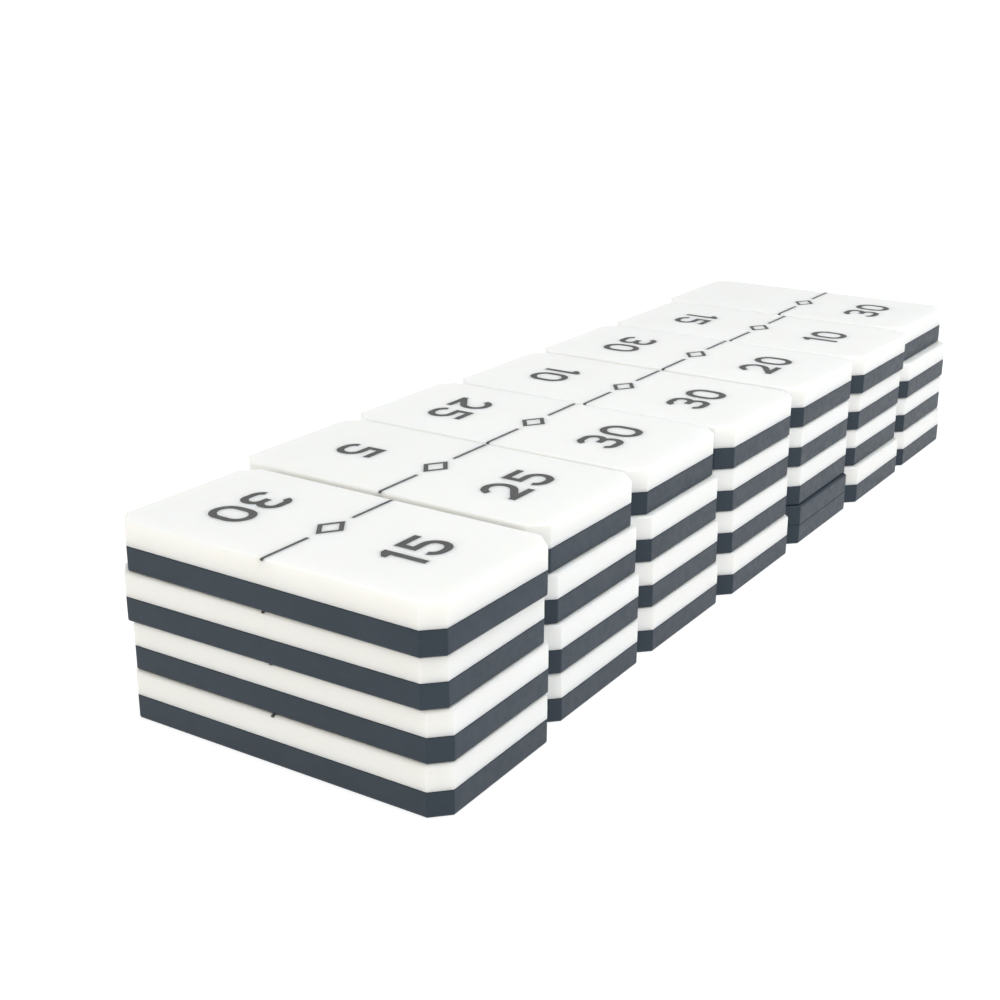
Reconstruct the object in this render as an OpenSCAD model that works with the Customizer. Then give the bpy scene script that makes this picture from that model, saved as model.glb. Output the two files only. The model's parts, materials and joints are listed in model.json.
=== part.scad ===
// Set of 28 two-ply number dominoes, stacked in a row of seven piles of four.
// X runs along the row, Y along the length of each tile and Z up.
// The origin is the middle of the row, on the table.

/* [Tile] */
// Length of a tile
tile_l = 48; // [44:0.5:56]
// Width of a tile
tile_w = 24; // [20:0.5:24]
// Thickness of the upper ply, which carries the print
face_t = 3.25; // [2.5:0.05:4]
// Thickness of the lower ply
base_t = 3.25; // [2.5:0.05:4]
// Leg of the 45 degree chamfer on the four upright corners
corner = 2.2; // [1:0.1:3]
// Radius of the edge round the playing face
face_edge_r = 0.45; // [0.35:0.05:1]
// Radius of the edge round the underside
base_edge_r = 0.35; // [0.2:0.05:1]

/* [Numerals] */
// Height of a numeral
digit_h = 6.3; // [5.5:0.1:7]
// Width of every numeral except the 1
digit_w = 4.8; // [4.2:0.1:5]
// Width of the 1
one_w = 2.0; // [1.8:0.1:2.6]
// Width of the engraved line
stroke = 1.05; // [0.7:0.05:1.15]
// Space between two numerals
digit_gap = 1.1; // [0.8:0.05:1.6]
// Distance from the middle of the tile to the middle of a number
number_y = 12.8; // [12:0.1:14]
// Depth of the engraving
engraving = 0.25; // [0.1:0.05:0.3]

/* [Centre line] */
// Width of the line, which runs right across the tile and out through its rounded edge
rule_w = 0.5; // [0.3:0.05:0.8]
// Half of the gap that the line leaves round the lozenge
rule_gap = 4.0; // [3:0.1:5]
// Length of the lozenge, across the tile
lozenge_l = 5.4; // [4:0.1:5.8]
// Width of the lozenge, along the tile
lozenge_w = 3.9; // [3:0.1:4.4]
// Width of the lozenge's line
lozenge_line = 0.6; // [0.4:0.05:0.7]

/* [Row] */
// Distance between the middles of neighbouring piles
pile_pitch = 24.5; // [24.5:0.1:30]

/* [Hidden] */
$fn = 64;
tile_t = face_t + base_t;
// Extra length of a cutter past the face that it cuts
past = 1;

// Each tile is [number at +Y, number at -Y, shift along X, shift along Y, turn in degrees].
// The shifts and turns are those of tiles set down by hand. Each pile is listed from the top down.
blank = "blank";
piles = [
    [[30, 15, -0.7, -1.7, -0.5], [5, 20, -0.6, -1.1, 0.75],
     [10, 10, -0.2, -1.5, 0.75], [blank, 25, -0.5, -1.6, 0.75]],
    [[5, 25, 0.1, 1.4, -0.25], [blank, 15, 0.4, 0.7, 0.25],
     [20, 20, 0.4, 0.1, 0.25], [10, 25, 0.3, 0, 0.5]],
    [[25, 30, 0.1, 1.7, 0], [10, 20, 0.1, 0.8, 0],
     [blank, 5, 0.1, 0.4, 0], [15, 15, 0.1, 0.1, 0]],
    [[10, 30, -0.1, 0.4, -0.5], [25, 25, -0.2, 0.3, -0.25],
     [5, 15, -0.3, 0.1, 0], [blank, 20, -0.3, -0.4, 0]],
    [[30, 20, 0.3, 0.3, -0.25], [5, 10, 0.1, 0.3, 0],
     [15, 25, 0.2, 0.2, 0.25], [blank, blank, 0.2, -0.2, 0]],
    [[15, 10, 0, -0.3, -0.25], [20, 25, 0, 0.1, 0],
     [5, 5, 0, 0.2, -0.25], [30, 30, -0.1, -0.6, 0]],
    [[blank, 30, 0.2, 1.4, 0], [15, 20, -0.3, -0.1, 0],
     [5, 30, -0.3, 0.1, 0], [blank, 10, -0.3, -0.3, 0]],
];
pile_count = len(piles);
pile_height = len(piles[0]);

function node_name(tile, ply) = str("domino_", tile[0], "_", tile[1], "_", ply);

// Point at angle a on a circle of radius r round c
function on_circle(c, r, a) = c + r * [cos(a), sin(a)];

// Straight pen stroke with square ends
module line_stroke(from, to) {
    run = to - from;
    translate(from) rotate(atan2(run.y, run.x)) translate([0, -stroke / 2]) square([norm(run), stroke]);
}

// Curved pen stroke with square ends, round c from angle a0 up to angle a1, at most 240 degrees.
// A fan of four blades, as long as the ring is wide, cuts the stroke out of the whole ring.
module arc_stroke(c, r, a0, a1) {
    blades = 4;
    far = 2 * r + stroke;
    fan = [for (i = [0:blades]) on_circle(c, far, a0 + (a1 - a0) * i / blades)];
    intersection() {
        translate(c) difference() {
            circle(r = r + stroke / 2);
            circle(r = r - stroke / 2);
        }
        polygon(concat([c], fan));
    }
}

// The pen's middle stays inside this box: left, right, bottom and top
pen_l = stroke / 2;
pen_r = digit_w - stroke / 2;
pen_b = stroke / 2;
pen_t = digit_h - stroke / 2;
bowl_r = (pen_r - pen_l) / 2;
lobe_r = (pen_t - pen_b) / 4;
// Angle by which an open bowl stops short of its left side
hook = 15;
// Distance by which the heel of a 2 stands in from its left side
heel_inset = 0.2;
// Distance by which the stem of a 5 stands in from its left side
stem_inset = 0.35;
// Radius of the bowl of a 5
five_r = digit_h / 4;

module digit_0() {
    middle = digit_w / 2;
    arc_stroke([middle, pen_t - bowl_r], bowl_r, 0, 180);
    arc_stroke([middle, pen_b + bowl_r], bowl_r, 180, 360);
    for (x = [pen_l, pen_r])
        line_stroke([x, pen_b + bowl_r], [x, pen_t - bowl_r]);
}

module digit_1() {
    stem_l = one_w - stroke;
    flag_h = digit_h / 4;
    flag_edge = 0.4 * flag_h;
    translate([stem_l, 0]) square([stroke, digit_h]);
    translate([0, digit_h - flag_h])
        polygon([[0, 0], [one_w, 0], [one_w, flag_h], [stem_l + stroke / 4, flag_h], [0, flag_edge]]);
}

module digit_2() {
    middle = [digit_w / 2, pen_t - bowl_r];
    heel = [pen_l + heel_inset, pen_b];
    // The neck is a tangent of the bowl. It starts a little inside the bowl and runs past the heel.
    to_heel = heel - middle;
    turn_end = atan2(to_heel.y, to_heel.x) + acos(bowl_r / norm(to_heel));
    neck = on_circle(middle, bowl_r, turn_end);
    arc_stroke(middle, bowl_r, turn_end, 180 - hook);
    intersection() {
        line_stroke(neck + (neck - heel) / 20, heel + (heel - neck) / 3);
        square([digit_w, digit_h]);
    }
    square([digit_w, stroke]);
}

// Upper half of a 3: a lobe that is open to the left
module lobe() {
    middle_y = digit_h / 2 + lobe_r;
    right = [pen_r - lobe_r, middle_y];
    left = [pen_l + lobe_r, middle_y];
    arc_stroke(right, lobe_r, -90, 90);
    line_stroke([left.x, pen_t], [right.x, pen_t]);
    arc_stroke(left, lobe_r, 90, 180 - hook);
    line_stroke([digit_w / 2 - stroke / 2, digit_h / 2], [right.x, digit_h / 2]);
}

module digit_3() {
    lobe();
    translate([0, digit_h]) mirror([0, 1]) lobe();
}

module digit_5() {
    waist_y = pen_b + 2 * five_r;
    stem_x = pen_l + stem_inset;
    right = [pen_r - five_r, pen_b + five_r];
    left = [pen_l + five_r, pen_b + five_r];
    arc_stroke(right, five_r, -90, 90);
    line_stroke([left.x, pen_b], [right.x, pen_b]);
    arc_stroke(left, five_r, 180 + hook, 270);
    line_stroke([stem_x, waist_y], [right.x, waist_y]);
    line_stroke([stem_x, waist_y - stroke / 2], [stem_x, digit_h]);
    line_stroke([stem_x, pen_t], [digit_w - stem_inset, pen_t]);
}

module digit(n) {
    if (n == 0) digit_0();
    if (n == 1) digit_1();
    if (n == 2) digit_2();
    if (n == 3) digit_3();
    if (n == 5) digit_5();
}

function digits_of(value) = value < 10 ? [value] : [floor(value / 10), value % 10];
function width_of(n) = n == 1 ? one_w : digit_w;
function number_w(list) =
    width_of(list[0]) + (len(list) > 1 ? digit_gap + width_of(list[1]) : 0);

// One number in the -Y half of a tile, with its top towards the middle
module number(value) {
    if (value != blank) {
        list = digits_of(value);
        left = -number_w(list) / 2;
        bottom = -number_y - digit_h / 2;
        translate([left, bottom]) digit(list[0]);
        if (len(list) > 1)
            translate([left + width_of(list[0]) + digit_gap, bottom]) digit(list[1]);
    }
}

// Plain diamond of the given size, flat on the XY plane
module diamond(l, w) {
    polygon([[l / 2, 0], [0, w / 2], [-l / 2, 0], [0, -w / 2]]);
}

// Line across the tile, broken round an open lozenge
module centre_line() {
    rule_l = tile_w / 2 + past - rule_gap;
    slope = norm([lozenge_l, lozenge_w]) / lozenge_w;
    wall = 2 * lozenge_line * slope;
    for (side = [-1, 1])
        translate([side * (rule_gap + rule_l / 2), 0]) square([rule_l, rule_w], center = true);
    difference() {
        diamond(lozenge_l, lozenge_w);
        diamond(lozenge_l - wall, (lozenge_l - wall) * lozenge_w / lozenge_l);
    }
}

// Bar of width w whose two upper long edges are rounded. It runs along Y, from z = 0 up to t.
module rounded_bar(w, t, edge_r) {
    rotate([90, 0, 0])
    linear_extrude(2 * tile_l, center = true)
    union() {
        translate([-w / 2, 0]) square([w, t - edge_r]);
        translate([-w / 2 + edge_r, 0]) square([w - 2 * edge_r, t]);
        for (side = [-1, 1])
            translate([side * (w / 2 - edge_r), t - edge_r]) circle(r = edge_r);
    }
}

// One ply: eight upright sides, and a rounded edge round its upper face
module ply(t, edge_r) {
    across_corners = (tile_w + tile_l - 2 * corner) / sqrt(2);
    intersection() {
        rounded_bar(tile_w, t, edge_r);
        rotate(90) rounded_bar(tile_l, t, edge_r);
        rotate(45) rounded_bar(across_corners, t, edge_r);
        rotate(-45) rounded_bar(across_corners, t, edge_r);
    }
}

// The double blank is dark all through, and the other tiles have a light face
function is_dark(tile) = tile[0] == blank && tile[1] == blank;

// Upper ply, with its print engraved
module face_ply(tile) {
    color(is_dark(tile) ? "darkslategray" : "ivory")
    difference() {
        ply(face_t, face_edge_r);
        translate([0, 0, face_t - engraving]) linear_extrude(engraving + past) {
            centre_line();
            number(tile[1]);
            rotate(180) number(tile[0]);
        }
    }
}

// Lower ply, with its rounded edge on the underside
module base_ply() {
    color("darkslategray")
    translate([0, 0, base_t]) mirror([0, 0, 1]) ply(base_t, base_edge_r);
}

// Puts a tile's underside where the tile rests in the row
module in_row(pile, level) {
    tile = piles[pile][level];
    x = (pile - (pile_count - 1) / 2) * pile_pitch;
    z = (pile_height - 1 - level) * tile_t;
    translate([x + tile[2], tile[3], z]) rotate(tile[4]) children();
}

for (pile = [0:pile_count - 1], level = [0:pile_height - 1]) {
    tile = piles[pile][level];
    in_row(pile, level) translate([0, 0, base_t]) face_ply(tile);
    in_row(pile, level) base_ply();
}
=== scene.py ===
import json
import math
import random

import bmesh
import bpy
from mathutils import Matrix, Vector
from mathutils.bvhtree import BVHTree

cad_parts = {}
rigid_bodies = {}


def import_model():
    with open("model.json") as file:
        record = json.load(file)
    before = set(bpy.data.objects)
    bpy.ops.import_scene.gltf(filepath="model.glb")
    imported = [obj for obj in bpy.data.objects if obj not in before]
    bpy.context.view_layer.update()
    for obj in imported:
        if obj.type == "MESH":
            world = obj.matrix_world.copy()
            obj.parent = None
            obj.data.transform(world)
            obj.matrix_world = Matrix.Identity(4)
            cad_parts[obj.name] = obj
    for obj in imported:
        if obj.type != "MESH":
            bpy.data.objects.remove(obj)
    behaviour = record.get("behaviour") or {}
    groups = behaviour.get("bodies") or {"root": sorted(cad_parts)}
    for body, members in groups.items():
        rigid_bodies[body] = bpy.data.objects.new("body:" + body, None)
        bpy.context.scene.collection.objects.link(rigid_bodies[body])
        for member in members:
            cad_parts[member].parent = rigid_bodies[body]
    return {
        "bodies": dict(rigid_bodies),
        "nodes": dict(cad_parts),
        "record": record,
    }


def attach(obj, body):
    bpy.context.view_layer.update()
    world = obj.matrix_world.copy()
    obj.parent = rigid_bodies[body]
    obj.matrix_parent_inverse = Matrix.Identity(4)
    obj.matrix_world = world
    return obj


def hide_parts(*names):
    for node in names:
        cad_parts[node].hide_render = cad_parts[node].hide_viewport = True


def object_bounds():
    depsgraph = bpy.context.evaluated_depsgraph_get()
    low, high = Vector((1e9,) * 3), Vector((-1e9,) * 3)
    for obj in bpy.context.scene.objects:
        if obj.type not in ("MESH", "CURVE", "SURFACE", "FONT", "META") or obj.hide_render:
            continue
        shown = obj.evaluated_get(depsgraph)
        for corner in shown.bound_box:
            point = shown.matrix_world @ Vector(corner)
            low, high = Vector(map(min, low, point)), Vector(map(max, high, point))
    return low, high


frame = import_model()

cad_box = [list(corner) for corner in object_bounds()]
scene = bpy.context.scene
scene.view_settings.view_transform = "Standard"

MM = 0.001
random.seed(28)

# Camera, from the row's middle: where it aims, how far off it stands, and its direction
AIM = Vector((-35.7, 0, 17.7)) * MM
CAMERA_DISTANCE = 211.4 * MM
CAMERA_AZIMUTH = math.radians(-56.45)
CAMERA_ELEVATION = math.radians(19.5)
CAMERA_LENS_MM = 54.5

# Meshes of the plies
WELD = 1e-7                    # vertices that are closer than this, in metres, are joined
FLAT_LIMIT = math.radians(0.4)  # faces that meet at less than this angle are merged
FLAT_UP = 0.9999               # least Z of the normal of a face that counts as level
POCKET_DEPTH = 0.05 * MM       # a level face lower than this under the top is the engraving's floor
POCKET_EDGE = 0.01 * MM        # slack under the engraving's floor when its edges are picked out
SMOOTH_LIMIT = math.radians(28)  # sharper edges are rounded, or stay crisp in the engraving
SOFT_EDGE = 0.12 * MM          # width of the rounding on the sharp outer edges
SOFT_SEGMENTS = 3

# Paint in the engraving
PAINT_FILL = 0.85              # how much of the engraving's depth the paint fills
PAINT_SINK = 0.02 * MM         # how far the paint stays under the rounded edge that it runs over
PAINT_SKIN = 0.01 * MM         # thinnest paint
EDGE_CUTS = 6                  # cuts that let the paint bend over the rounded edge
EDGE_STEP = 0.07 * MM          # distance between those cuts
BESIDE = 1.0 * MM              # how far beside the centre line the edge's height is measured

PLASTIC_IOR = 1.49

# Floor
FLOOR_RADIUS = 30              # in metres, so that its edge is out of sight
FLOOR_SEGMENTS = 96


def direction(azimuth, elevation):
    """Unit vector from the object towards a viewer; azimuth 0 is the -Y side."""
    flat = math.cos(elevation)
    return Vector((math.sin(azimuth) * flat, -math.cos(azimuth) * flat, math.sin(elevation)))


# ---------------------------------------------------------------- camera, light and floor

def add_camera():
    camera = bpy.data.objects.new("camera", bpy.data.cameras.new("camera"))
    scene.collection.objects.link(camera)
    towards = direction(CAMERA_AZIMUTH, CAMERA_ELEVATION)
    camera.location = AIM + towards * CAMERA_DISTANCE
    camera.rotation_euler = (-towards).to_track_quat("-Z", "Y").to_euler()
    camera.data.sensor_width = 36
    camera.data.lens = CAMERA_LENS_MM
    camera.data.clip_start = 0.01
    camera.data.clip_end = 100
    scene.camera = camera


def add_softbox(name, azimuth, elevation, distance, size, power, colour):
    """Square lamp aimed at the frame's origin: degrees, metres and watts."""
    light = bpy.data.lights.new(name, "AREA")
    light.shape = "SQUARE"
    light.size = size
    light.energy = power
    light.color = colour
    lamp = bpy.data.objects.new(name, light)
    scene.collection.objects.link(lamp)
    towards = direction(math.radians(azimuth), math.radians(elevation))
    lamp.location = towards * distance
    lamp.rotation_euler = (-towards).to_track_quat("-Z", "Y").to_euler()


def add_studio_light():
    """Dim white sky that lights the tiles, a white backdrop that only the camera sees, and softboxes."""
    world = bpy.data.worlds.new("studio")
    world.use_nodes = True
    tree = world.node_tree
    sky = tree.nodes["Background"]
    sky.inputs["Color"].default_value = (1, 1, 1, 1)
    sky.inputs["Strength"].default_value = 0.6
    backdrop = tree.nodes.new("ShaderNodeBackground")
    backdrop.inputs["Color"].default_value = (1, 1, 1, 1)
    seen = tree.nodes.new("ShaderNodeLightPath")
    choose = tree.nodes.new("ShaderNodeMixShader")
    tree.links.new(seen.outputs["Is Camera Ray"], choose.inputs["Fac"])
    tree.links.new(sky.outputs["Background"], choose.inputs[1])
    tree.links.new(backdrop.outputs["Background"], choose.inputs[2])
    tree.links.new(choose.outputs["Shader"], tree.nodes["World Output"].inputs["Surface"])
    scene.world = world
    add_softbox("key", 5, 62, 0.4, 0.3, 0.56, (0.93, 0.98, 1.0))
    add_softbox("warm_fill", -85, 15, 0.9, 0.6, 0.95, (1.0, 0.82, 0.38))
    add_softbox("top", 0, 89, 1.0, 0.8, 2.95, (0.93, 0.96, 1.0))


def add_floor():
    """Large round light table under the tiles."""
    mesh = bpy.data.meshes.new("floor")
    bm = bmesh.new()
    bmesh.ops.create_circle(bm, cap_ends=True, radius=FLOOR_RADIUS, segments=FLOOR_SEGMENTS)
    bm.to_mesh(mesh)
    bm.free()
    floor = bpy.data.objects.new("floor", mesh)
    floor.location.z = cad_box[0][2]
    scene.collection.objects.link(floor)
    mesh.materials.append(floor_material())


# ---------------------------------------------------------------- materials

class Shader:
    """A material's node tree with short ways to add and join its nodes."""

    def __init__(self, name, roughness):
        self.material = bpy.data.materials.new(name)
        self.material.use_nodes = True
        self.tree = self.material.node_tree
        self.surface = self.tree.nodes["Principled BSDF"]
        self.surface.inputs["IOR"].default_value = PLASTIC_IOR
        self.surface.inputs["Roughness"].default_value = roughness
        self.place = self.add("ShaderNodeTexCoord").outputs["Object"]

    def add(self, kind, **settings):
        node = self.tree.nodes.new(kind)
        for name, value in settings.items():
            setattr(node, name, value)
        return node

    def join(self, output, node, name):
        self.tree.links.new(output, node.inputs[name])

    def noise(self, size, detail=3, stretch=(1, 1, 1)):
        """Noise whose lumps are about size metres across, longer along an axis whose stretch is above 1."""
        place = self.add("ShaderNodeMapping")
        place.inputs["Scale"].default_value = [1 / (size * s) for s in stretch]
        self.join(self.place, place, "Vector")
        noise = self.add("ShaderNodeTexNoise")
        noise.inputs["Scale"].default_value = 1
        noise.inputs["Detail"].default_value = detail
        noise.inputs["Roughness"].default_value = 0.5
        self.join(place.outputs["Vector"], noise, "Vector")
        return noise.outputs["Fac"]

    def between(self, value, low, high, to_low=0.0, to_high=1.0):
        """Value from low to high, mapped onto to_low to to_high and held there outside."""
        remap = self.add("ShaderNodeMapRange", interpolation_type="SMOOTHSTEP")
        self.join(value, remap, "Value")
        remap.inputs["From Min"].default_value = low
        remap.inputs["From Max"].default_value = high
        remap.inputs["To Min"].default_value = to_low
        remap.inputs["To Max"].default_value = to_high
        return remap.outputs["Result"]

    def maths(self, operation, a, b):
        node = self.add("ShaderNodeMath", operation=operation)
        for index, value in enumerate((a, b)):
            if isinstance(value, (int, float)):
                node.inputs[index].default_value = value
            else:
                self.tree.links.new(value, node.inputs[index])
        return node.outputs["Value"]

    def mix(self, amount, a, b):
        """Colour a where amount is 0 and colour b where it is 1. Either may be a constant or an output."""
        node = self.add("ShaderNodeMix", data_type="RGBA")
        self.tree.links.new(amount, node.inputs["Factor"])
        for socket, value in ((node.inputs[6], a), (node.inputs[7], b)):
            if isinstance(value, tuple):
                socket.default_value = (*value, 1)
            else:
                self.tree.links.new(value, socket)
        return node.outputs[2]

    def specks(self, spacing, size, share):
        """Mask of round specks of about size metres, in a share of the cells that are spacing apart."""
        cells = self.add("ShaderNodeTexVoronoi")
        cells.inputs["Scale"].default_value = 1 / spacing
        self.join(self.place, cells, "Vector")
        inside = self.between(cells.outputs["Distance"], 0.5 * size / spacing, 0.15 * size / spacing)
        pick = self.add("ShaderNodeSeparateColor")
        self.join(cells.outputs["Color"], pick, "Color")
        chosen = self.maths("LESS_THAN", pick.outputs["Red"], share)
        return self.maths("MULTIPLY", inside, chosen)

    def colour(self, output):
        self.join(output, self.surface, "Base Color")

    def roughness(self, output):
        self.join(output, self.surface, "Roughness")

    def bump(self, height, depth):
        node = self.add("ShaderNodeBump")
        node.inputs["Distance"].default_value = depth
        node.inputs["Strength"].default_value = 1
        self.join(height, node, "Height")
        self.join(node.outputs["Normal"], self.surface, "Normal")


def light_plastic(name, tint):
    """Warm white moulded plastic: light bleeds into it, and it has faint clouding and a few specks."""
    shader = Shader(name, 0.32)
    surface = shader.surface
    surface.inputs["Subsurface Weight"].default_value = 0.85
    surface.inputs["Subsurface Radius"].default_value = (1.0, 0.95, 0.85)
    surface.inputs["Subsurface Scale"].default_value = 2 * MM
    clouds = shader.between(shader.noise(9 * MM), 0.35, 0.65)
    pale = tuple(c * t for c, t in zip((0.885, 0.885, 0.865), tint))
    deep = tuple(c * t for c, t in zip((0.875, 0.875, 0.85), tint))
    colour = shader.mix(clouds, deep, pale)
    dust = shader.specks(7 * MM, 0.35 * MM, 0.22)
    colour = shader.mix(shader.maths("MULTIPLY", dust, 0.55), colour, (0.3, 0.29, 0.27))
    shader.colour(colour)
    rubs = shader.noise(3 * MM, detail=5, stretch=(2, 2, 1))
    shader.roughness(shader.between(rubs, 0.35, 0.65, 0.3, 0.35))
    shader.bump(shader.noise(0.4 * MM, detail=3), 0.001 * MM)
    return shader.material


def dark_plastic(name):
    """Blue-grey moulded plastic with faint clouding, fine rub marks and pale dust."""
    shader = Shader(name, 0.42)
    shader.surface.inputs["Specular IOR Level"].default_value = 0.25
    clouds = shader.between(shader.noise(7 * MM), 0.35, 0.65)
    colour = shader.mix(clouds, (0.026, 0.039, 0.055), (0.029, 0.043, 0.060))
    rubs = shader.between(shader.noise(0.5 * MM, detail=5, stretch=(6, 6, 1)), 0.6, 0.8)
    colour = shader.mix(shader.maths("MULTIPLY", rubs, 0.2), colour, (0.07, 0.08, 0.09))
    dust = shader.specks(5 * MM, 0.22 * MM, 0.25)
    colour = shader.mix(shader.maths("MULTIPLY", dust, 0.5), colour, (0.3, 0.3, 0.3))
    shader.colour(colour)
    shader.roughness(shader.between(shader.noise(1.2 * MM, detail=4), 0.3, 0.7, 0.38, 0.48))
    shader.bump(shader.noise(0.8 * MM, detail=4), 0.0015 * MM)
    return shader.material


def paint(name, thin, thick):
    """Matt paint wiped into the engraving: a little thinner in patches, with a fine grain."""
    shader = Shader(name, 0.6)
    patches = shader.between(shader.noise(1.5 * MM, detail=4), 0.3, 0.6)
    colour = shader.mix(patches, thin, thick)
    grain = shader.noise(0.15 * MM, detail=2)
    shader.colour(colour)
    shader.roughness(shader.between(grain, 0.3, 0.7, 0.5, 0.7))
    shader.bump(grain, 0.008 * MM)
    return shader.material


def floor_material():
    """Pale light table. It glows a little, so the tiles' shadows stay faint."""
    shader = Shader("light_table", 0.7)
    mottle = shader.between(shader.noise(0.2), 0.3, 0.7)
    shader.colour(shader.mix(mottle, (0.34, 0.34, 0.34), (0.36, 0.36, 0.36)))
    shader.surface.inputs["Emission Color"].default_value = (1, 1, 1, 1)
    shader.surface.inputs["Emission Strength"].default_value = 0.8
    return shader.material


# ---------------------------------------------------------------- tiles

def is_flat(face):
    return face.normal.z > FLAT_UP


def pocket_floor(bm):
    """Faces at the bottom of the engraving: flat, facing up and below the top of the ply."""
    top = max(vert.co.z for vert in bm.verts)
    return [f for f in bm.faces if is_flat(f) and f.calc_center_median().z < top - POCKET_DEPTH]


def cad_mesh(node):
    """Editable copy of a CAD node's mesh, with its seams closed and its flat faces merged."""
    bm = bmesh.new()
    bm.from_mesh(frame["nodes"][node].data)
    bmesh.ops.remove_doubles(bm, verts=bm.verts, dist=WELD)
    bmesh.ops.dissolve_limit(bm, angle_limit=FLAT_LIMIT, verts=bm.verts, edges=bm.edges)
    for layer in list(bm.loops.layers.float_vector.values()):
        bm.loops.layers.float_vector.remove(layer)
    return bm


def new_object(name, bm, materials):
    mesh = bpy.data.meshes.new(name)
    bm.to_mesh(mesh)
    bm.free()
    for attribute in ("custom_normal", "sharp_edge", "sharp_face"):
        if attribute in mesh.attributes:
            mesh.attributes.remove(mesh.attributes[attribute])
    mesh.materials.clear()
    for material in materials:
        mesh.materials.append(material)
    mesh.shade_smooth()
    mesh.set_sharp_from_angle(angle=SMOOTH_LIMIT)
    made = bpy.data.objects.new(name, mesh)
    scene.collection.objects.link(made)
    return made


def mark_soft_edges(bm):
    """Gives every sharp outer edge a bevel weight, and leaves the engraving's edges crisp."""
    weight = bm.edges.layers.float.new("bevel_weight_edge")
    floors = pocket_floor(bm)
    lowest = min((f.calc_center_median().z for f in floors), default=math.inf) - POCKET_EDGE
    for edge in bm.edges:
        in_pocket = all(vert.co.z > lowest for vert in edge.verts)
        if edge.is_manifold and not in_pocket and edge.calc_face_angle() > SMOOTH_LIMIT:
            edge[weight] = 1


def add_ply(node, body, material):
    """Ply that stands for a CAD node, with its sharp outer edges rounded off a little."""
    bm = cad_mesh(node)
    mark_soft_edges(bm)
    ply = new_object(node.replace("domino", "tile"), bm, [material])
    bevel = ply.modifiers.new("soft_edges", "BEVEL")
    bevel.limit_method = "WEIGHT"
    bevel.width = SOFT_EDGE
    bevel.segments = SOFT_SEGMENTS
    bevel.harden_normals = True
    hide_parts(node)
    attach(ply, body)


def cut_ends(bm):
    """Cuts the centre line across near both ends, so that it can bend over the tile's rounded edge."""
    for side in (-1, 1):
        end = max(side * vert.co.x for vert in bm.verts)
        for cut in range(1, EDGE_CUTS + 1):
            place = Vector((side * (end - cut * EDGE_STEP), 0, 0))
            bmesh.ops.bisect_plane(bm, geom=bm.verts[:] + bm.edges[:] + bm.faces[:],
                                   plane_co=place, plane_no=(1, 0, 0))


def height_beside(tree, point):
    """Height of the ply's surface level with a point of the centre line, just beside the line."""
    heights = []
    for shift in (-BESIDE, BESIDE):
        start = Vector((point.x, point.y + shift, point.z + BESIDE))
        hit = tree.ray_cast(start, Vector((0, 0, -1)))[0]
        heights.append(hit.z if hit else point.z)
    return sum(heights) / len(heights)


def add_paint(node, body, material):
    """Paint that fills the engraving of a face ply to just under its surface."""
    bm = cad_mesh(node)
    tree = BVHTree.FromBMesh(bm)
    top = max(vert.co.z for vert in bm.verts)
    floors = pocket_floor(bm)
    floor_z = floors[0].verts[0].co.z
    bmesh.ops.delete(bm, geom=[f for f in bm.faces if f not in floors], context="FACES")
    cut_ends(bm)
    left = min(vert.co.x for vert in bm.verts) + EDGE_CUTS * EDGE_STEP
    right = max(vert.co.x for vert in bm.verts) - EDGE_CUTS * EDGE_STEP
    raised = bmesh.ops.extrude_face_region(bm, geom=bm.faces[:], use_keep_orig=True)["geom"]
    for vert in raised:
        if isinstance(vert, bmesh.types.BMVert):
            level = floor_z + (top - floor_z) * PAINT_FILL
            if not left < vert.co.x < right:
                level = min(level, height_beside(tree, vert.co) - PAINT_SINK)
            vert.co.z = max(level, floor_z + PAINT_SKIN)
    bmesh.ops.recalc_face_normals(bm, faces=bm.faces)
    print_piece = new_object(node.replace("domino", "tile").replace("face", "print"), bm, [material])
    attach(print_piece, body)


def add_tiles():
    light = [light_plastic(f"light_plastic_{i}", tint)
             for i, tint in enumerate(((1, 1, 1), (1.0, 0.998, 0.992), (0.993, 0.995, 0.993)))]
    dark = dark_plastic("dark_plastic")
    dark_paint = paint("engraving_paint", (0.088, 0.088, 0.086), (0.068, 0.068, 0.066))
    pale_paint = paint("light_paint", (0.55, 0.56, 0.55), (0.66, 0.67, 0.66))
    slots = {part["node"]: part["material_slot"] for part in frame["record"]["subparts"]}
    for body in frame["bodies"]:
        face, base = f"{body}_face", f"{body}_base"
        add_ply(base, body, dark)
        if slots[face] == "light_plastic":
            add_ply(face, body, random.choice(light))
            add_paint(face, body, dark_paint)
        else:
            add_ply(face, body, dark)
            add_paint(face, body, pale_paint)


add_camera()
add_studio_light()
add_floor()
add_tiles()
